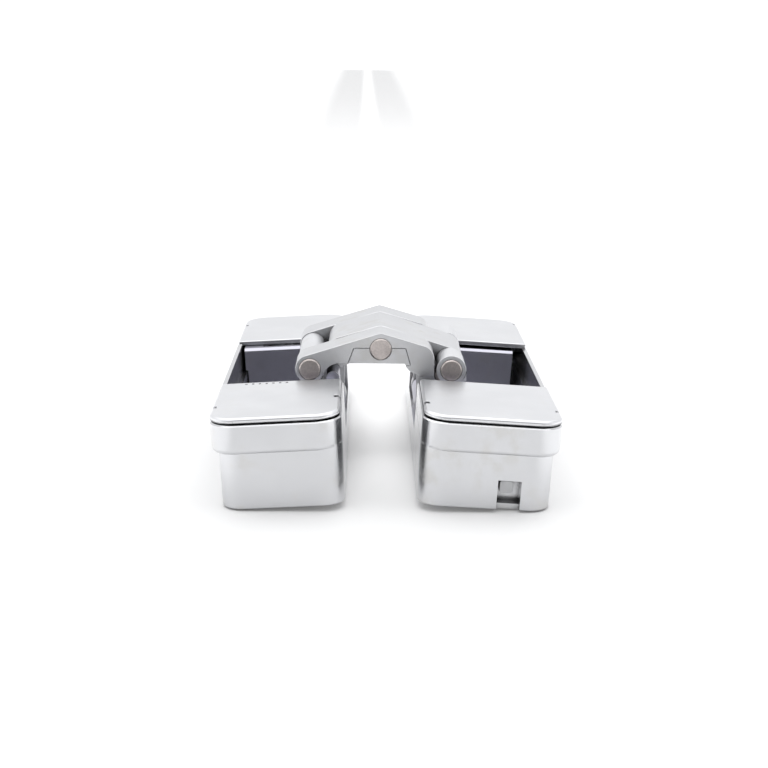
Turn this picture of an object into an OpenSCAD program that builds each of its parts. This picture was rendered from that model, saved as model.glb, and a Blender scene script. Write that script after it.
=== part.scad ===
// Concealed door hinge with two mortised leaves, lying open on its back.
// Frame: X across the two leaves, Y along the leaves, Z up from the bench.
// The photo side is -Y. Pins run along Y. Units are millimetres.

/* [Leaves] */
// Length of each leaf along the pins
leaf_l = 110; // [108:1:130]
// Width of the left leaf across its face
left_w = 29; // [29:0.5:31]
// Width of the right leaf across its face
right_w = 31; // [31:0.5:34]
// Depth of the right leaf from face to back
leaf_h = 21; // [20.8:0.1:24]
// Clear gap between the two inner edges in the open pose
open_gap = 18; // [17.8:0.1:18.4]
// Roof-like tilt of each leaf in the open pose
tilt = 3.3; // [3.1:0.1:3.5]

/* [Housing] */
// Plan radius of the lower body corners
body_r = 5; // [3:0.5:6]
// Plan radius of the upper flange corners
flange_r = 5.6; // [4:0.2:7]
// Height of the flange band measured down from the leaf face
flange_h = 8.4; // [7.8:0.1:9]
// How far the left flange stands proud of the body on the outer side
left_out = 1.5; // [1.3:0.05:1.5]
// How far the right flange stands proud of the body on the outer side
right_out = 1.3; // [1.2:0.05:2]
// How far the flange stands proud of the body at the ends
flange_end = 0.56; // [0.3:0.02:1]
// Fillet under the flange
flange_fillet = 1.2; // [0.6:0.1:1.3]
// Chamfer round the back of the body
back_chamfer = 0.5; // [0.3:0.1:1]
// Thickness of the housing floor
floor_t = 1.7; // [1.5:0.1:2]
// Half length of the pocket for arms and carriage
pocket_y = 42; // [41.5:0.1:42.5]
// Thickness of the inner wall
inner_wall = 2; // [1.6:0.1:2.1]
// Thickness of the outer wall beside the pocket
outer_wall = 1.2; // [1.1:0.1:1.5]
// Depth of the ledge where the outer wall steps in under the flange
ledge_z = 7.4; // [7:0.1:7.5]
// Thickness of the body wall under the ledge
body_wall = 0.75; // [0.7:0.05:0.75]
// Half length of the cut in the inner wall for the arms
mouth_y = 20.5; // [19:0.5:21]
// Depth of the cut in the inner wall
mouth_z = 13.3; // [13.2:0.1:13.4]

/* [Covers] */
// Thickness of a cover plate
cover_t = 1.2; // [1:0.05:1.2]
// Open gap between a cover plate and the rim of the housing
cover_gap = 0.42; // [0.2:0.02:0.5]
// Inset of a cover from the inner edge
cover_inset = 0.4; // [0.05:0.05:0.6]
// Distance of the cover rear edge from mid length
cover_y = 23.2; // [22.8:0.1:26]
// Bevel on the upper edge of a cover
cover_bevel = 0.45; // [0.2:0.05:0.5]
// Distance of the pry notches from the leaf end
notch_from_end = 10.5; // [7:0.5:12]
// Depth of the left outer wall top below the leaf face, between the covers
left_wall_top = 0.5; // [0.4:0.1:1.4]
// Depth of the right outer wall top below the leaf face, between the covers
right_wall_top = 1.1; // [0.4:0.1:1.4]

/* [Window] */
// Inner side of the window in the near end of the right leaf
window_x0 = 17.5; // [17:0.1:18]
// Outer side of the window
window_x1 = 22.7; // [22.2:0.1:23]
// Depth of the window top below the leaf face
window_top = -14.1; // [-14.4:0.1:-13.6]

/* [Mounting] */
// Radius of a mounting screw hole
mount_r = 2.2; // [2:0.1:2.5]
// Radius of the recess for a mounting screw head
mount_head_r = 4.2; // [3.8:0.1:4.2]
// Distance of the mounting holes from mid length
mount_y = 47; // [47:0.1:47.4]
// Inner mounting hole, distance from the inner edge
mount_x0 = 8; // [7.5:0.1:8.2]
// Outer mounting hole, distance from the inner edge
mount_x1 = 22; // [21.8:0.1:22.4]

/* [Linkage] */
// Height of the centre pin above the inner edge
centre_z = 5.9; // [5.8:0.05:6]
// Height of the roof ridge above the inner edge
ridge_z = 9.9; // [9.7:0.1:10.2]
// Distance of an upper link pin from the mid plane
link_pin_x = 17.1; // [17:0.05:17.2]
// Height of an upper link pin above the inner edge
link_pin_z = 0.8; // [0.7:0.05:0.9]
// Leg pivot, distance from the inner edge in the leaf
leg_pin_x = 3; // [2.95:0.05:3.05]
// Leg pivot, depth below the leaf face
leg_pin_z = 10; // [9.9:0.05:10.1]
// Foot pin, distance from the inner edge in the leaf
foot_pin_x = 7.5; // [7.4:0.05:7.6]
// Foot pin, depth below the leaf face
foot_pin_z = 8; // [7.9:0.05:8.1]
// Half width of the middle arm
mid_half = 8.85; // [8.6:0.05:8.9]
// Half width over the fork arms
fork_half = 18; // [17.9:0.05:18]
// Radius of the centre pin and the two link pins
pin_r = 2.6; // [2.3:0.05:2.7]
// How far the centre pin and the link pins stand proud of the arms
pin_proud = 0.3; // [0.05:0.05:0.4]
// Radius of the two leg pins
leg_pin_r = 2; // [1.6:0.1:2.1]
// Radius of a foot pin
foot_pin_r = 1.3; // [1.2:0.05:1.35]
// Radial play of a running bore
fit = 0.05; // [0.03:0.01:0.08]

/* [Adjustment] */
// Depth of the left carriage top below the leaf face
left_top = 1.3; // [1.3:0.05:2.2]
// Depth of the right carriage top below the leaf face
right_top = 2; // [1.3:0.05:2.2]
// Bevel on the top edge of the end blocks
block_bevel = 0.65; // [0.4:0.05:0.8]
// Half travel of the height adjustment
height_travel = 1.5; // [1:0.1:1.5]
// Half travel of the side adjustment
side_travel = 0.9; // [0.5:0.1:0.9]
// Half length of the block that carries the clamping screws
block_y1 = 37.5; // [37:0.1:37.6]
// Inner face of the left end blocks, distance from mid length
left_y0 = 19.3; // [19:0.1:20]
// Inner face of the right end blocks, distance from mid length
right_y0 = 22; // [21.6:0.1:22.2]

/* [Hidden] */
$fn = 40;
st = sin(tilt);
ct = cos(tilt);
body_half = leaf_l / 2 - flange_end;
rim_z = cover_t + cover_gap;
lift = (right_w - right_out - back_chamfer) * st + leaf_h * ct;
// The narrower left leaf is a little deeper, so both rest on the bench
left_h = leaf_h + (right_w - right_out - left_w + left_out) * st / ct;
edge_x = open_gap / 2;
// Mid plane of the linkage, which keeps the origin under the middle of the whole hinge
mid_x = (left_w - right_w) / 2 * ct;
floor_z = floor_t - leaf_h;
// Leg pivot in the upright frame, mirrored for the left side
leg_x = edge_x + leg_pin_x * ct - leg_pin_z * st;
leg_z = 0 - leg_pin_x * st - leg_pin_z * ct;
// Arm outline
eye_r = 3.5;
shoulder_x = 12.94;
shoulder_r = 3.6;
inside_x = 8.95;
arch_z = 2.3;
fall = atan(0.3);
shoulder_z = ridge_z - 0.3 * (shoulder_x - shoulder_r) - shoulder_r / cos(fall);
roof_d = sqrt(link_pin_x * link_pin_x + (ridge_z - link_pin_z) * (ridge_z - link_pin_z));
roof_a = atan2(ridge_z - link_pin_z, link_pin_x) + acos(eye_r / roof_d);
leg_clear = 9.4;
leg_w_mid = 2.8;
leg_w_fork = 2.8;
foot_z0 = -8.43;
foot_z1 = -5.95;
foot_x = 16.39;
waist_x = 15.35;
screw_z = -10.5;
screw_x = 15.5;
side_y = 39.75;
side_z = -8;
side_end = right_w - right_out - body_wall + 0.5;

// ---- placement ----------------------------------------------------------

// Right leaf frame: X outward from the inner edge, Z up from the face
module right_leaf() {
  translate([mid_x + edge_x, 0, lift]) rotate([0, tilt, 0]) children();
}

// Left leaf frame, the mirror of the right one about the linkage
module left_leaf() {
  translate([2 * mid_x, 0, 0]) mirror([1, 0, 0]) right_leaf() children();
}

// Upright frame at the height of the inner edges
module upright() {
  translate([mid_x, 0, lift]) children();
}

// Profile in X and Z swept from y0 to y1
module slab(y0, y1) {
  translate([0, y1, 0]) rotate([90, 0, 0]) linear_extrude(height = y1 - y0) children();
}

// Profile in Y and Z swept from x0 to x1
module bar(x0, x1) {
  translate([x0, 0, 0]) rotate([90, 0, 90]) linear_extrude(height = x1 - x0) children();
}

// Round rod along Y
module rod(x, z, r, y0, y1) {
  translate([x, y1, z]) rotate([90, 0, 0]) cylinder(r = r, h = y1 - y0);
}

// Round rod along X
module rod_x(y, z, r, x0, x1) {
  translate([x0, y, z]) rotate([0, 90, 0]) cylinder(r = r, h = x1 - x0);
}

// Plain box by its limits
module box(x0, x1, y0, y1, z0, z1) {
  translate([x0, y0, z0]) cube([x1 - x0, y1 - y0, z1 - z0]);
}

// Both signs of Y
module both_ends() {
  children();
  mirror([0, 1, 0]) children();
}

// ---- housings -----------------------------------------------------------

// Half profile of a block edge: fillet or chamfer below, chamfer on top
function edge_pts(d, z0, z1, fb, ft) = concat(
  [[0, z0]],
  [for (a = [0 : 30 : 90]) [d - fb + fb * sin(a), z0 + fb - fb * cos(a)]],
  [[d, z1 - ft], [d - ft, z1], [0, z1]]);

// Block with round plan corners, rounded under edge and bevelled top edge
module round_block(x0, x1, y0, y1, r, z0, z1, fb, ft) {
  for (x = [x0 + r, x1 - r]) {
    for (y = [y0 + r, y1 - r]) {
      translate([x, y, 0]) rotate_extrude() polygon(edge_pts(r, z0, z1, fb, ft));
    }
  }
  slab(y0 + r, y1 - r) {
    translate([x1 - r, 0]) polygon(edge_pts(r, z0, z1, fb, ft));
    translate([x0 + r, 0]) mirror([1, 0]) polygon(edge_pts(r, z0, z1, fb, ft));
  }
  box(x0 + r, x1 - r, y0 + r, y1 - r, z0, z1);
  bar(x0 + r, x1 - r) {
    translate([y1 - r, 0]) polygon(edge_pts(r, z0, z1, fb, ft));
    translate([y0 + r, 0]) mirror([1, 0]) polygon(edge_pts(r, z0, z1, fb, ft));
  }
}

module mount_hole(x, y) {
  translate([x, y, 0 - leaf_h - 1]) cylinder(r = mount_r, h = leaf_h + 2);
  translate([x, y, -8]) cylinder(r = mount_head_r, h = 9);
  translate([x, y, -8 - mount_head_r + mount_r])
    cylinder(r1 = mount_r, r2 = mount_head_r, h = mount_head_r - mount_r);
}

// Housing w wide and h deep, its body out narrower, its outer wall top t below the face
module housing_body(w, h, out, t) {
  difference() {
    union() {
      round_block(0, w - out, 0 - body_half, body_half, body_r,
        0 - h, 1 - flange_h, back_chamfer, 0.1);
      round_block(0, w, 0 - leaf_l / 2, leaf_l / 2, flange_r,
        0 - flange_h, 0 - rim_z, flange_fillet, 0.3);
      slab(0.2 - cover_y, cover_y - 0.2)
        polygon([[w - outer_wall - 1, -0.5 - rim_z], [w, -0.5 - rim_z], [w, -0.2 - t],
          [w - 0.2, 0 - t], [w - outer_wall - 1, 0 - t]]);
    }
    box(inner_wall, w - out - body_wall, 0 - pocket_y, pocket_y, floor_z, 1);
    box(inner_wall, w - outer_wall, 0 - pocket_y, pocket_y, 0 - ledge_z, 1);
    box(-1, inner_wall + 0.5, 0 - mouth_y, mouth_y, 0 - mouth_z, 1);
    for (s = [-1, 1]) {
      mount_hole(mount_x0, s * mount_y);
      mount_hole(mount_x1, s * mount_y);
      for (y = [44.6, 51.6]) {
        translate([15, s * y, -4.2]) cylinder(r = 1.4, h = 5);
      }
    }
    for (x = [8.5, 20.8]) {
      for (y = [-29.5, 29.5]) {
        translate([x, y, 0 - h - 1]) cylinder(r = 2, h = 5);
      }
    }
  }
}

module left_housing() {
  color([0.78, 0.79, 0.81]) left_leaf() difference() {
    housing_body(left_w, left_h, left_out, left_wall_top);
    rod(screw_x, screw_z, 2 + fit, pocket_y - 1, 45.5);
  }
}

module right_housing() {
  color([0.78, 0.79, 0.81]) right_leaf() difference() {
    housing_body(right_w, leaf_h, right_out, right_wall_top);
    for (s = [-1, 1]) {
      rod_x(s * side_y, side_z, 1.5 + fit, inner_wall - 1.1, side_end + 0.1);
    }
    box(window_x0, window_x1, -56, -52.8, 0 - leaf_h - 1, window_top);
    box(window_x0, window_x1, -53, -50.2, 1.2 - leaf_h, window_top);
  }
}

// Square stop seen through the window in the near end
module index_block() {
  color([0.7, 0.71, 0.73]) right_leaf() slab(-53.2, -50.2)
    translate([window_x0 + 2, window_top - 0.4])
      polygon([[-1.5, -2.4], [-1.2, -2.7], [1.2, -2.7], [1.5, -2.4],
        [1.5, -0.3], [1.2, 0], [-1.2, 0], [-1.5, -0.3]]);
}

// ---- covers -------------------------------------------------------------

// Cover plate on the +Y end, w wide, with pry notches n0 and n1 from the leaf end
module cover_plate(w, n0, n1) {
  difference() {
    intersection() {
      round_block(cover_inset, w - 0.05, 0 - leaf_l / 2, leaf_l / 2 - 0.05, flange_r,
        0 - cover_t, 0, 0.15, cover_bevel);
      box(-1, w + 1, cover_y, leaf_l / 2 + 1, -3, 1);
    }
    // Rear edge bevel and small corner chamfer
    bar(-1, w + 1)
      polygon([[cover_y - 1, 0.1], [cover_y + 0.3, 0.1], [cover_y - 0.1, -0.3], [cover_y - 1, -0.3]]);
    translate([0, 0, -3]) linear_extrude(height = 4)
      polygon([[w - 0.9, cover_y - 1], [w + 1, cover_y - 1],
        [w + 1, cover_y + 1.4], [w - 0.05, cover_y + 0.4]]);
    // Pry notches on both long sides
    for (x = [[-1, cover_inset + 1.4, n0], [w - 1.1, w + 1, n1]]) {
      box(x[0], x[1], leaf_l / 2 - x[2] - 0.9, leaf_l / 2 - x[2] + 0.9, -3, 1);
    }
  }
  // Foot that carries the plate clear of the rim
  box(4, w - 4, pocket_y + 0.6, leaf_l / 2 - 1.4, 0 - rim_z, 0.1 - cover_t);
  for (y = [44.6, 51.6]) {
    translate([15, y, -3.9]) cylinder(r = 1.4, h = 3.9 - cover_t + 0.1);
  }
}

// Seven plain graduation marks along the rear edge of a plate
module marks(x0, y0, z) {
  for (i = [0 : 6]) {
    box(x0 + i * 1.6, x0 + i * 1.6 + 0.5, y0, y0 + 1.4, z - 0.3, z + 1);
  }
}

module left_cover_far() {
  color([0.84, 0.85, 0.87]) left_leaf() cover_plate(left_w, notch_from_end, notch_from_end);
}

module left_cover_near() {
  color([0.84, 0.85, 0.87]) left_leaf() difference() {
    mirror([0, 1, 0]) cover_plate(left_w, notch_from_end + 5, notch_from_end);
    marks(13, 0 - cover_y - 2.1, 0);
  }
}

module right_cover_far() {
  color([0.84, 0.85, 0.87]) right_leaf() cover_plate(right_w, notch_from_end, notch_from_end - 5);
}

module right_cover_near() {
  color([0.84, 0.85, 0.87]) right_leaf() mirror([0, 1, 0])
    cover_plate(right_w, notch_from_end, notch_from_end - 1);
}

// ---- carriages ----------------------------------------------------------

// End block on the +Y side with bevelled top edge
module end_block(x0, x1, y0, z0, top) {
  bar(x0, x1)
    polygon([[y0, z0], [block_y1, z0], [block_y1, 0 - top], [y0 + block_bevel, 0 - top],
      [y0, 0 - top - block_bevel]]);
}

// Slotted seat for a clamping screw, half travel dx along X or dy along Y
module clamp_seat(x, y, dx, dy) {
  for (p = [[2.15, 0 - leaf_h, leaf_h], [3.75, -5.3, 6]]) {
    for (s = [-1, 1]) {
      translate([x + s * dx, y + s * dy, p[1]]) cylinder(r = p[0], h = p[2]);
    }
    box(x - dx - p[0] * sign(dy), x + dx + p[0] * sign(dy),
      y - dy - p[0] * sign(dx), y + dy + p[0] * sign(dx), p[1], p[1] + p[2]);
  }
}

// Bearing cheek round the leg pivot
module leg_cheek(x0, y0, y1) {
  rod(leg_pin_x, 0 - leg_pin_z, 2.9, y0, y1);
  box(x0, 5.6, y0, y1, -14, 0 - leg_pin_z);
}

// Bearing cheek round the foot pin
module foot_cheek(y0, y1) {
  rod(foot_pin_x, 0 - foot_pin_z, 2.8, y0, y1);
  box(5, 8.8, y0, y1, -13.9, 0 - foot_pin_z);
  box(5, 7.6, y0, y1, -14.5, 0 - foot_pin_z);
}

module left_carriage() {
  color([0.5, 0.51, 0.54]) left_leaf() difference() {
    union() {
      both_ends() {
        end_block(2.15, 26.55, left_y0, floor_z + 0.1, left_top);
        // Shoulder that fills the wider upper part of the pocket
        end_block(20, 27.1, left_y0, 0.2 - ledge_z, left_top);
        leg_cheek(2.4, 3, 4.5);
        foot_cheek(8.95, 12.6);
        // Round-topped lug beside the arm
        box(1, 4.2, 9.1, 17.7, -13, -1.2);
        rod(2.6, -1.2, 1.6, 9.1, 17.7);
        box(2.4, 4.2, 9.1, 17.7, -14, -12);
      }
      box(2.4, 7.6, -1 - left_y0, left_y0 + 1, floor_z + 0.1, -13.4);
    }
    rod(leg_pin_x, 0 - leg_pin_z, leg_pin_r, -5, 5);
    rod(foot_pin_x, 0 - foot_pin_z, foot_pin_r, -12.7, 12.7);
    for (x = [8.5, 20.8]) {
      clamp_seat(x, 29.5, 0, height_travel);
      clamp_seat(x, -29.5, 0, height_travel);
    }
    rod(screw_x, screw_z, 2 + fit, 26, block_y1 + 1);
    marks(12, cover_y - 1.8, 0 - left_top);
  }
}

module right_carriage() {
  color([0.5, 0.51, 0.54]) right_leaf() difference() {
    union() {
      both_ends() {
        end_block(3.1, 27.3, right_y0, floor_z + 0.1, right_top);
        leg_cheek(3.4, 12, 13.5);
        foot_cheek(18.1, right_y0 + 0.5);
        // Tab that rides on the side screw
        box(9, 15, block_y1 - 0.5, 41.4, -12, -4);
      }
      leg_cheek(3.4, -8.6, 8.6);
      box(3.4, 7.6, -1 - right_y0, right_y0 + 1, floor_z + 0.1, -13.4);
    }
    rod(leg_pin_x, 0 - leg_pin_z, leg_pin_r, -13.6, 13.6);
    for (s = [-1, 1]) {
      rod(foot_pin_x, 0 - foot_pin_z, foot_pin_r, min(s * 13, s * 21.3), max(s * 13, s * 21.3));
      rod_x(s * side_y, side_z, 1.5 + fit, 8, 16);
      for (x = [8.5, 20.8]) {
        clamp_seat(x, s * 29.5, side_travel, 0);
      }
    }
  }
}

// ---- arms ---------------------------------------------------------------

// Arm body with the eye on the left and the leg on the right
module arm_body(y0, y1) {
  difference() {
    union() {
      slab(y0, y1) polygon([
        [0 - link_pin_x + eye_r * cos(roof_a), link_pin_z + eye_r * sin(roof_a)],
        [-0.9, ridge_z - 0.3], [0, ridge_z - 0.12], [0.9, ridge_z - 0.3],
        [shoulder_x - shoulder_r + shoulder_r * sin(fall), shoulder_z + shoulder_r * cos(fall)],
        [shoulder_x - shoulder_r, shoulder_z], [shoulder_x, shoulder_z],
        [shoulder_x, -4], [inside_x, -4], [inside_x, arch_z], [-9.95, arch_z],
        [-13.6, link_pin_z - 1.5], [0 - link_pin_x, link_pin_z]]);
      rod(shoulder_x - shoulder_r, shoulder_z, shoulder_r, y0, y1);
    }
    rod(-10, -1.65, 3.95, y0 - 1, y1 + 1);
    rod(leg_x, leg_z, leg_clear, y0 - 1, y1 + 1);
  }
  rod(0 - link_pin_x, link_pin_z, eye_r, y0, y1);
}

// Slim lower leg that ends in the pivot boss
module arm_leg(y0, y1) {
  intersection() {
    box(inside_x, shoulder_x, y0, y1, leg_z, 3);
    rod(leg_x, leg_z, leg_clear + 1.5, y0, y1);
  }
  rod(leg_x, leg_z, 3, y0, y1);
}

module fork_arm(y0, y1, l0, l1) {
  difference() {
    union() {
      arm_body(y0, y1);
      arm_leg(l0, l1);
    }
    rod(0, centre_z, pin_r, y0 - 1, y1 + 1);
    rod(0 - link_pin_x, link_pin_z, pin_r, y0 - 1, y1 + 1);
    rod(leg_x, leg_z, leg_pin_r + fit, l0 - 1, l1 + 1);
  }
}

module fork_arm_near() {
  color([0.74, 0.75, 0.77]) upright() difference() {
    fork_arm(0 - fork_half, -9, -9 - leg_w_fork, -9);
    // Shallow relief round the centre pin on the front face
    slab(0 - fork_half - 1, 0 - fork_half + 0.1)
      polygon([[-8, 2], [7.2, 2], [6, 6.1], [-6.5, 6.1]]);
  }
}

module fork_arm_far() {
  color([0.74, 0.75, 0.77]) upright() fork_arm(9, fork_half, 9, 9 + leg_w_fork);
}

module middle_arm() {
  color([0.76, 0.77, 0.79]) upright() mirror([1, 0, 0]) difference() {
    union() {
      arm_body(0 - mid_half, mid_half);
      arm_leg(0 - leg_w_mid, leg_w_mid);
    }
    rod(0, centre_z, pin_r + fit, 0 - mid_half - 1, mid_half + 1);
    rod(0 - link_pin_x, link_pin_z, pin_r, 0 - mid_half - 1, mid_half + 1);
    rod(leg_x, leg_z, leg_pin_r + fit, 0 - leg_w_mid - 1, leg_w_mid + 1);
  }
}

// ---- links --------------------------------------------------------------

// Lower part of a link with its slotted foot, on the left side
module link_prong(y0, y1, r) {
  difference() {
    union() {
      slab(y0, y1) polygon([[0 - link_pin_x - r, link_pin_z], [0 - link_pin_x - r, link_pin_z - 2.2],
        [0 - foot_x - 2.7, foot_z1], [0 - foot_x + 2.7, foot_z1],
        [0 - waist_x, foot_z1 + 1.6], [0 - waist_x, link_pin_z]]);
      rod(0 - foot_x, foot_z1, 2.7, y0, y1);
      rod(0 - foot_x, foot_z0, 2.7, y0, y1);
      box(0 - foot_x - 2.7, 0 - foot_x + 2.7, y0, y1, foot_z0, foot_z1);
    }
    rod(0 - foot_x, foot_z1, 1.75, y0 - 1, y1 + 1);
    rod(0 - foot_x, foot_z0, 1.75, y0 - 1, y1 + 1);
    box(0 - foot_x - 1.75, 0 - foot_x + 1.75, y0 - 1, y1 + 1, foot_z0, foot_z1);
  }
}

module left_link() {
  color([0.72, 0.73, 0.75]) upright() difference() {
    union() {
      rod(0 - link_pin_x, link_pin_z, 3.2, 0 - mid_half, mid_half);
      link_prong(-8.7, -4.7, 3.2);
      link_prong(4.7, 8.7, 3.2);
    }
    rod(0 - link_pin_x, link_pin_z, pin_r + fit, -10, 10);
  }
}

module right_link(y0, y1, p0, p1) {
  upright() mirror([1, 0, 0]) difference() {
    union() {
      rod(0 - link_pin_x, link_pin_z, 3.6, y0, y1);
      link_prong(p0, p1, 3.6);
    }
    rod(0 - link_pin_x, link_pin_z, pin_r + fit, y0 - 1, y1 + 1);
  }
}

module right_link_near() {
  color([0.72, 0.73, 0.75]) right_link(0 - fork_half, -9, -17.8, -13.7);
}

module right_link_far() {
  color([0.72, 0.73, 0.75]) right_link(9, fork_half, 13.7, 17.8);
}

// ---- pins ---------------------------------------------------------------

// Long pin through both fork arms, standing proud at both ends
module through_pin(x, z) {
  pin(x, z, pin_r, 0 - fork_half - pin_proud, fork_half + pin_proud);
}

// Pin along Y with chamfered ends
module pin(x, z, r, y0, y1) {
  translate([x, y1, z]) rotate([90, 0, 0]) rotate_extrude()
    polygon([[0, 0], [r - 0.3, 0], [r, 0.3], [r, y1 - y0 - 0.3], [r - 0.3, y1 - y0],
      [0, y1 - y0]]);
}

module centre_pin() {
  color([0.76, 0.66, 0.62]) upright() through_pin(0, centre_z);
}

module left_link_pin() {
  color([0.76, 0.66, 0.62]) upright() through_pin(0 - link_pin_x, link_pin_z);
}

module right_link_pin() {
  color([0.76, 0.66, 0.62]) upright() through_pin(link_pin_x, link_pin_z);
}

module left_leg_pin() {
  color([0.76, 0.66, 0.62]) left_leaf() pin(leg_pin_x, 0 - leg_pin_z, leg_pin_r, -4.5, 4.5);
}

module right_leg_pin() {
  color([0.76, 0.66, 0.62]) right_leaf() pin(leg_pin_x, 0 - leg_pin_z, leg_pin_r, -13.5, 13.5);
}

module left_foot_pins() {
  color([0.76, 0.66, 0.62]) left_leaf() both_ends()
    pin(foot_pin_x, 0 - foot_pin_z, foot_pin_r, 4.65, 12.6);
}

module right_foot_pins() {
  color([0.76, 0.66, 0.62]) right_leaf() both_ends()
    pin(foot_pin_x, 0 - foot_pin_z, foot_pin_r, 13.65, 21.3);
}

// ---- screws -------------------------------------------------------------

// Vertical clamping screw with a hexagon socket
module clamp_screw(x, y) {
  difference() {
    union() {
      translate([x, y, 0 - leaf_h + 0.1]) cylinder(r = 2, h = leaf_h - 5.3);
      translate([x, y, -5.25]) cylinder(r = 3.6, h = 2.6);
      translate([x, y, -2.65]) cylinder(r1 = 3.6, r2 = 3.3, h = 0.3);
    }
    translate([x, y, -4.4]) cylinder(r = 1.75, h = 3, $fn = 6);
  }
}

module clamp_set() {
  for (x = [8.5, 20.8]) {
    for (y = [-29.5, 29.5]) {
      clamp_screw(x, y);
    }
  }
}

module left_clamp_screws() {
  color([0.55, 0.56, 0.58]) left_leaf() clamp_set();
}

module right_clamp_screws() {
  color([0.55, 0.56, 0.58]) right_leaf() clamp_set();
}

module height_screw() {
  color([0.6, 0.6, 0.58]) left_leaf() difference() {
    union() {
      rod(screw_x, screw_z, 2, 28, 45.1);
      rod(screw_x, screw_z, 4.4, 39.4, 41.7);
    }
    for (a = [0 : 45 : 315]) {
      translate([screw_x, 40.5, screw_z]) rotate([0, a, 0]) rod(4.4, 0, 0.8, -3, 3);
    }
  }
}

module side_screw(y) {
  difference() {
    union() {
      rod_x(y, side_z, 1.5, inner_wall - 1, side_end);
      rod_x(y, side_z, 2.2, 18, 20.5);
    }
    for (a = [0 : 60 : 300]) {
      translate([19, y, side_z]) rotate([a, 0, 0]) rod_x(2.2, 0, 0.5, -3, 3);
    }
  }
}

module side_screw_near() {
  color([0.6, 0.6, 0.58]) right_leaf() side_screw(0 - side_y);
}

module side_screw_far() {
  color([0.6, 0.6, 0.58]) right_leaf() side_screw(side_y);
}

left_housing();
right_housing();
left_cover_near();
left_cover_far();
right_cover_near();
right_cover_far();
left_carriage();
right_carriage();
fork_arm_near();
fork_arm_far();
middle_arm();
left_link();
right_link_near();
right_link_far();
centre_pin();
left_link_pin();
right_link_pin();
left_leg_pin();
right_leg_pin();
left_foot_pins();
right_foot_pins();
left_clamp_screws();
right_clamp_screws();
height_screw();
side_screw_near();
side_screw_far();
index_block();
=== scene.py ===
"""Looks of a concealed door hinge that lies open on the backs of its two leaves.

The CAD nodes keep their shapes. Each one gets softened edges and a procedural metal. Lengths are metres.
"""

import math

import bpy
from mathutils import Matrix, Vector


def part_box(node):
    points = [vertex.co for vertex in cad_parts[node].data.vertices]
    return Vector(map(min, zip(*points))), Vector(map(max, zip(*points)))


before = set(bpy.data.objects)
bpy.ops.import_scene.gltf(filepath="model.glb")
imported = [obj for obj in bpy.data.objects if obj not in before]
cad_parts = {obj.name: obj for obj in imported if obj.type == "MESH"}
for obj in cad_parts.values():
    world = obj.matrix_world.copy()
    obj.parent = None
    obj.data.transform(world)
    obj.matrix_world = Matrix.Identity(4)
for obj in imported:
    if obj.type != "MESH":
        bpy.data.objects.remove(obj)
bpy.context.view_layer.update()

MM = 0.001

# ---------------------------------------------------------------------------
# Node helpers
# ---------------------------------------------------------------------------


class Graph:
    """Short calls that add nodes to the node tree of a material or a world."""

    def __init__(self, tree):
        self.tree = tree

    def add(self, kind, **settings):
        """Adds a node and sets its properties."""
        node = self.tree.nodes.new("ShaderNode" + kind)
        for name, value in settings.items():
            setattr(node, name, value)
        return node

    def link(self, value, socket):
        """Connects a node output, or sets a plain number or colour."""
        if isinstance(value, bpy.types.NodeSocket):
            self.tree.links.new(value, socket)
        else:
            socket.default_value = value

    def remap(self, value, low, high, to_low, to_high):
        """Carries value from low..high to to_low..to_high, smoothly and clamped."""
        node = self.add("MapRange", interpolation_type="SMOOTHSTEP")
        for number, name in zip((low, high, to_low, to_high), ("From Min", "From Max", "To Min", "To Max")):
            node.inputs[name].default_value = number
        self.link(value, node.inputs["Value"])
        return node.outputs["Result"]

    def math(self, kind, a, b=0.0):
        """One arithmetic step."""
        node = self.add("Math", operation=kind)
        self.link(a, node.inputs[0])
        self.link(b, node.inputs[1])
        return node.outputs["Value"]

    def vector(self, kind, a, b=(0.0, 0.0, 0.0)):
        """One step of vector arithmetic. The node has a Vector and a Value output."""
        node = self.add("VectorMath", operation=kind)
        self.link(a, node.inputs[0])
        self.link(b, node.inputs[1])
        return node

    def mix(self, factor, first, second, data_type="RGBA"):
        """Colour or number that goes from first to second."""
        node = self.add("Mix", data_type=data_type)
        self.link(factor, node.inputs["Factor"])
        self.link(first, node.inputs["A"])
        self.link(second, node.inputs["B"])
        return node.outputs["Result"]

    def axes(self, vector):
        """Node that splits a vector into X, Y and Z outputs."""
        node = self.add("SeparateXYZ")
        self.link(vector, node.inputs["Vector"])
        return node

    def seen_directly(self):
        """1 for what the camera itself sees and 0 for light that bounces."""
        return self.add("LightPath").outputs["Is Camera Ray"]


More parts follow.
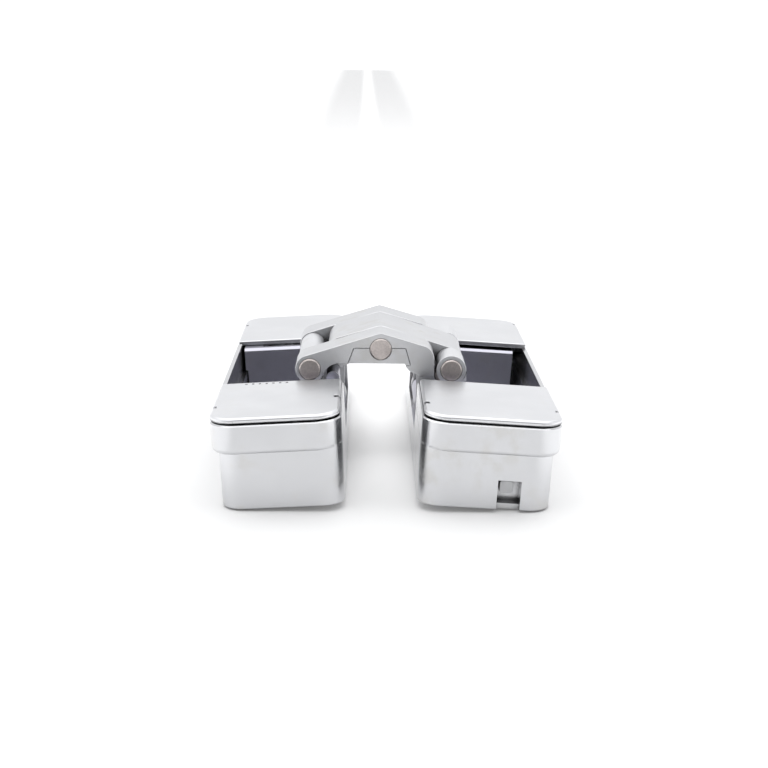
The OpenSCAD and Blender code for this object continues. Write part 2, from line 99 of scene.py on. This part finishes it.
class Shader(Graph):
    """A material with a Principled shader."""

    def __init__(self, name):
        self.material = bpy.data.materials.new(name)
        self.material.use_nodes = True
        super().__init__(self.material.node_tree)
        self.surface = self.tree.nodes["Principled BSDF"]
        self.place = self.add("TexCoord").outputs["Object"]

    def noise(self, size, detail=3.0, roughness=0.55, stretch=(1, 1, 1)):
        """Noise from 0 to 1 whose blobs are about size metres wide."""
        place = self.add("Mapping")
        place.inputs["Scale"].default_value = stretch
        self.link(self.place, place.inputs["Vector"])
        node = self.add("TexNoise")
        node.inputs["Scale"].default_value = 1 / size
        node.inputs["Detail"].default_value = detail
        node.inputs["Roughness"].default_value = roughness
        self.link(place.outputs["Vector"], node.inputs["Vector"])
        return node.outputs["Fac"]

    def bump(self, height, depth, below=None):
        """Bumps of depth metres, laid over an earlier bump."""
        node = self.add("Bump")
        node.inputs["Strength"].default_value = 1.0
        node.inputs["Distance"].default_value = depth
        self.link(height, node.inputs["Height"])
        if below is not None:
            self.link(below, node.inputs["Normal"])
        return node.outputs["Normal"]

    def edge(self, radius):
        """About 1 on sharp outer and inner edges and 0 on flats."""
        bevel = self.add("Bevel", samples=4)
        bevel.inputs["Radius"].default_value = radius
        face = self.add("NewGeometry").outputs["Normal"]
        agreement = self.vector("DOT_PRODUCT", bevel.outputs["Normal"], face).outputs["Value"]
        return self.remap(agreement, 0.995, 0.9, 0.0, 1.0)

    def painted_gap_shade(self, reach):
        """Mask for painted shade in gaps: 1 in the open and 0 deep inside gaps narrower than about reach metres,
        between parts too.
        """
        node = self.add("AmbientOcclusion", samples=6)
        node.inputs["Distance"].default_value = reach
        return self.remap(node.outputs["AO"], 0.12, 0.72, 0.0, 1.0)

    def finish(self, colour, roughness, normal=None, metallic=1.0):
        """Plugs the results into the shader."""
        self.link(colour, self.surface.inputs["Base Color"])
        self.link(roughness, self.surface.inputs["Roughness"])
        self.link(metallic, self.surface.inputs["Metallic"])
        if normal is not None:
            self.link(normal, self.surface.inputs["Normal"])
        return self.material


def grey(value, tint=(1.0, 1.0, 1.0)):
    """Grey colour with a slight tint."""
    return (value * tint[0], value * tint[1], value * tint[2], 1.0)


# ---------------------------------------------------------------------------
# Materials
# ---------------------------------------------------------------------------

COOL = (0.985, 0.992, 1.015)
# bluish tint of painted shade, for the carriages that sit in the shade inside the windows
SHADE_BLUE_TINT = (0.97, 0.965, 1.09)
WARM = (1.0, 0.985, 0.955)
GAP_SHADE_TINT = (1.0, 0.95, 1.0)
COPPER = (1.06, 0.965, 0.93)
BRIGHT_COPPER = (1.0, 0.93, 0.86)

GAP_SHADE_TONE = 0.07          # colour of the painted shade in narrow gaps
GAP_SHADE_REACH = 2.2 * MM
BRIGHTEST_METAL = 0.93       # no worn edge is lighter than this

PIN_TONE = 0.55
TURNING_RING_PITCH = 0.11 * MM

FLOOR_TONE = 0.85
FLOOR_GLOW_SEEN = 0.16       # glow of the floor as the camera sees it
FLOOR_GLOW_BOUNCED = 0.09    # glow of the floor in reflections and as light on the hinge
PAINTED_LIGHT_BESIDE = 0.25     # painted light: more glow on either side of the hinge
PAINTED_LIGHT_IN_GAP = 0.32        # painted light: more glow in the gap between the leaves, lifting the shadow of the arms


def blasted_zinc(name, tone, rough, wear=0.5, handled=0.5, tint=COOL):
    """Die-cast zinc with a bead-blasted satin plating, faint hand marks, brighter worn edges and painted shade in
    narrow gaps.
    """
    s = Shader(name)
    cloud = s.noise(14 * MM, 2.0)
    blotch = s.noise(4.2 * MM, 4.0, 0.6)
    grit = s.noise(0.16 * MM, 2.0, 0.7)
    peel = s.noise(1.3 * MM, 2.0)
    marks = s.remap(s.math("MULTIPLY", cloud, blotch), 0.24, 0.4, 0.0, handled)
    worn = s.math("MULTIPLY", s.edge(0.35 * MM), s.remap(blotch, 0.3, 0.65, wear * 0.45, wear))
    base = s.mix(s.remap(cloud, 0.3, 0.7, 0.0, 1.0), grey(tone * 0.965, tint), grey(tone * 1.02, tint))
    base = s.mix(marks, base, grey(tone * 0.9, WARM))
    base = s.mix(worn, base, grey(min(BRIGHTEST_METAL, tone * 1.14), COOL))
    # painted shade: narrow gaps and the seams between parts darken to a dark plum grey
    base = s.mix(s.painted_gap_shade(GAP_SHADE_REACH), grey(GAP_SHADE_TONE, GAP_SHADE_TINT), base)
    roughness = s.math("ADD", s.remap(grit, 0.3, 0.7, rough - 0.03, rough + 0.05), s.math("MULTIPLY", marks, 0.05))
    roughness = s.math("SUBTRACT", roughness, s.math("MULTIPLY", worn, 0.14))
    normal = s.bump(peel, 0.006 * MM)
    normal = s.bump(grit, 0.004 * MM, normal)
    return s.finish(base, roughness, normal)


def turned_pin(name, axis_x, axis_z):
    """Steel pin along Y with a faint copper tint, a bright rim and fine turning rings on its end faces."""
    s = Shader(name)
    offset = s.vector("SUBTRACT", s.place, (axis_x, 0.0, axis_z)).outputs["Vector"]
    across = s.vector("MULTIPLY", offset, (1.0, 0.0, 1.0)).outputs["Vector"]
    radius = s.vector("LENGTH", across).outputs["Value"]
    rings = s.math("SINE", s.math("MULTIPLY", radius, 2 * math.pi / TURNING_RING_PITCH))
    speck = s.noise(0.45 * MM, 4.0, 0.7)
    cloud = s.noise(2.4 * MM, 2.0)
    light, dark = grey(PIN_TONE * 1.05, COPPER), grey(PIN_TONE * 0.86, COPPER)
    base = s.mix(s.remap(speck, 0.35, 0.7, 0.0, 1.0), light, dark)
    rim = s.math("MULTIPLY", s.edge(0.35 * MM), 0.9)
    base = s.mix(rim, base, grey(BRIGHTEST_METAL, BRIGHT_COPPER))
    normal = s.bump(rings, 0.0012 * MM)
    normal = s.bump(speck, 0.004 * MM, normal)
    return s.finish(base, s.remap(cloud, 0.3, 0.7, 0.3, 0.42), normal)


def plated_screw(name):
    """Zinc-plated steel screw with a slightly mottled passivation."""
    s = Shader(name)
    mottle = s.noise(1.1 * MM, 4.0, 0.65)
    scratch = s.noise(0.25 * MM, 3.0, 0.6, stretch=(1, 1, 9))
    bluish, yellowish = grey(0.5, (0.98, 1.0, 1.02)), grey(0.62, (1.02, 1.0, 0.95))
    base = s.mix(s.remap(mottle, 0.3, 0.7, 0.0, 1.0), bluish, yellowish)
    base = s.mix(s.math("MULTIPLY", s.edge(0.25 * MM), 0.7), base, grey(0.82))
    return s.finish(base, s.remap(scratch, 0.3, 0.7, 0.26, 0.42), s.bump(scratch, 0.004 * MM))


def glowing_floor():
    """Pale matt acrylic sheet with a trace of unevenness, lit a little from below as a light table is, with painted
    light in the gap between the leaves and on either side of the hinge.
    """
    s = Shader("studio_floor")
    spot = s.axes(s.place)
    from_middle = s.math("ABSOLUTE", spot.outputs["X"])
    glow = s.mix(s.seen_directly(), FLOOR_GLOW_BOUNCED, FLOOR_GLOW_SEEN, "FLOAT")
    # painted light on the floor on either side of the hinge, for the hinge's rounded corners to reflect
    glow = s.math("ADD", glow, s.remap(from_middle, 42 * MM, 75 * MM, 0.0, PAINTED_LIGHT_BESIDE))
    # painted light in the gap between the leaves, from under the arms backwards, lifting the arms' shadow
    gap = s.remap(from_middle, 0.0, 14 * MM, PAINTED_LIGHT_IN_GAP, 0.0)
    past_near_end = s.remap(spot.outputs["Y"], -55 * MM, -10 * MM, 0.0, 1.0)
    glow = s.math("ADD", glow, s.math("MULTIPLY", gap, past_near_end))
    s.link(grey(1.0), s.surface.inputs["Emission Color"])
    s.link(glow, s.surface.inputs["Emission Strength"])
    base = s.mix(s.remap(s.noise(0.12, 2.0), 0.3, 0.7, 0.0, 1.0), grey(FLOOR_TONE), grey(FLOOR_TONE + 0.015))
    return s.finish(base, s.remap(s.noise(0.02), 0.3, 0.7, 0.55, 0.65), metallic=0.0)


# ---------------------------------------------------------------------------
# CAD nodes: edges and materials
# ---------------------------------------------------------------------------

WELD_GAP = 0.0004 * MM
FLAT_ANGLE = math.radians(0.6)       # faces closer to parallel than this become one
ROUNDED_ANGLE = math.radians(26)     # edges sharper than this are rounded
SHARP_ANGLE = math.radians(32)       # edges sharper than this stay sharp on a part that isn't rounded


def modify(o, kind, **settings):
    """Adds a modifier with these settings."""
    modifier = o.modifiers.new(kind.lower(), kind)
    for name, value in settings.items():
        setattr(modifier, name, value)


def soften(node, width, segments=3):
    """Welds a CAD node's triangles, merges its flats and rounds its sharp edges by width metres.

    A width of 0 keeps the edges as the CAD has them and only smooths its round faces.
    """
    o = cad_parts[node]
    o.data.shade_smooth()
    with bpy.context.temp_override(object=o, active_object=o, selected_objects=[o]):
        bpy.ops.mesh.customdata_custom_splitnormals_clear()
    modify(o, "WELD", merge_threshold=WELD_GAP)
    if width:
        modify(o, "DECIMATE", decimate_type="DISSOLVE", angle_limit=FLAT_ANGLE)
        modify(o, "BEVEL", width=width, segments=segments, limit_method="ANGLE", angle_limit=ROUNDED_ANGLE,
               use_clamp_overlap=False, harden_normals=True, miter_outer="MITER_ARC")
    else:
        modify(o, "EDGE_SPLIT", split_angle=SHARP_ANGLE, use_edge_sharp=False)
    modify(o, "WEIGHTED_NORMAL", keep_sharp=True)


def paint(node, material):
    """Gives a CAD node one material."""
    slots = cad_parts[node].data.materials
    slots.clear()
    slots.append(material)


# material, how far its edges are rounded, and the nodes made of it
FINISHES = [
    # painted shade: the housing is the same zinc as the covers in a darker tone, so its front faces come out darker
    # than the covers' lit tops
    (blasted_zinc("housing_zinc", 0.69, 0.19, wear=0.5, handled=0.55), 0.0,
     ["left_housing", "right_housing"]),
    (blasted_zinc("cover_zinc", 0.82, 0.32, wear=0.8, handled=0.15), 0.12 * MM,
     ["left_cover_near", "left_cover_far", "right_cover_near", "right_cover_far"]),
    # painted shade: the carriages are the zinc in a darker tone with a bluish tint, for their faces in the shade
    # inside the windows
    (blasted_zinc("carriage_zinc", 0.62, 0.34, wear=1.0, handled=0.3, tint=SHADE_BLUE_TINT), 0.1 * MM,
     ["left_carriage", "right_carriage"]),
    (blasted_zinc("arm_zinc", 0.71, 0.38, wear=0.6, handled=0.5), 0.2 * MM,
     ["fork_arm_near", "fork_arm_far", "middle_arm"]),
    (blasted_zinc("link_zinc", 0.8, 0.42, wear=0.7, handled=0.4), 0.14 * MM,
     ["left_link", "right_link_near", "right_link_far"]),
    (blasted_zinc("block_zinc", 0.5, 0.34, wear=0.9, handled=0.2), 0.12 * MM,
     ["index_block"]),
    (plated_screw("screw_steel"), 0.1 * MM,
     ["left_clamp_screws", "right_clamp_screws", "height_screw", "side_screw_near", "side_screw_far"]),
]
PINS = ["centre_pin", "left_link_pin", "right_link_pin", "left_leg_pin", "right_leg_pin",
        "left_foot_pins", "right_foot_pins"]
PIN_EDGE = 0.06 * MM

for material, edge_width, names in FINISHES:
    for name in names:
        soften(name, edge_width)
        paint(name, material)

for name in PINS:
    low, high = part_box(name)
    axis = (low + high) / 2
    soften(name, PIN_EDGE, segments=2)
    paint(name, turned_pin(name + "_steel", axis.x, axis.z))

# ---------------------------------------------------------------------------
# Studio
# ---------------------------------------------------------------------------


def floor():
    """Plain pale floor under the hinge."""
    bpy.ops.mesh.primitive_plane_add(size=6.0, location=(0, 0, 0))
    sheet = bpy.context.active_object
    sheet.name = "studio_floor"
    sheet.data.materials.append(glowing_floor())


def softbox():
    """Large soft light above the hinge, a little behind it."""
    lamp = bpy.data.lights.new("softbox", "AREA")
    lamp.shape = "RECTANGLE"
    lamp.size = 1.8
    lamp.size_y = 1.4
    lamp.energy = 7.6
    box = bpy.data.objects.new("softbox", lamp)
    box.location = (-0.05, 0.2, 1.0)
    aim = Vector((0, 0, 0.02)) - box.location
    box.rotation_euler = aim.to_track_quat("-Z", "Y").to_euler()
    bpy.context.scene.collection.objects.link(box)


def surround():
    """Even white surround that is dim in front of the hinge, bright at its sides and softer behind and above it."""
    dim_front, bright_sides, less_behind = 0.1, 1.3, 0.34
    overhead, backdrop = 0.78, 1.1
    world = bpy.data.worlds.new("surround")
    bpy.context.scene.world = world
    world.use_nodes = True
    world.node_tree.nodes.clear()
    sky = Graph(world.node_tree)
    way = sky.axes(sky.add("TexCoord").outputs["Generated"])
    front_to_sides = sky.remap(way.outputs["Y"], -0.8, -0.15, dim_front, bright_sides)
    behind = sky.remap(way.outputs["Y"], 0.1, 0.7, 0.0, less_behind)
    around = sky.math("SUBTRACT", front_to_sides, behind)
    upward = sky.remap(way.outputs["Z"], 0.3, 0.75, 0.0, 1.0)
    strength = sky.mix(upward, around, overhead, "FLOAT")
    strength = sky.mix(sky.seen_directly(), strength, backdrop, "FLOAT")
    light = sky.add("Background")
    sky.link((0.985, 0.99, 1.0, 1.0), light.inputs["Color"])
    sky.link(strength, light.inputs["Strength"])
    sky.link(light.outputs["Background"], sky.add("OutputWorld").inputs["Surface"])


def camera():
    """Camera in front of the leaf ends, a little above them."""
    pitch = math.radians(13.927)
    heading = math.radians(0.87)
    roll = math.radians(0.65)
    distance = 0.3623
    face_height = 22.65 * MM
    aim_below_face = 5.26 * MM
    target = Vector((0.12 * MM, 0.0, face_height - aim_below_face))
    ahead = Vector((math.sin(heading) * math.cos(pitch), math.cos(heading) * math.cos(pitch), -math.sin(pitch)))
    right = Vector((math.cos(heading), -math.sin(heading), 0.0))
    up = right.cross(ahead)
    right, up = (math.cos(roll) * right + math.sin(roll) * up, math.cos(roll) * up - math.sin(roll) * right)
    data = bpy.data.cameras.new("camera")
    data.lens = 66.69
    data.sensor_width = 36.0
    data.shift_y = -0.0099
    data.clip_start = 0.01
    view = bpy.data.objects.new("camera", data)
    turn = Matrix((right, up, -ahead)).transposed().to_4x4()
    view.matrix_world = Matrix.Translation(target - ahead * distance) @ turn
    bpy.context.scene.collection.objects.link(view)
    bpy.context.scene.camera = view


floor()
softbox()
surround()
camera()
bpy.context.scene.view_settings.view_transform = "Standard"
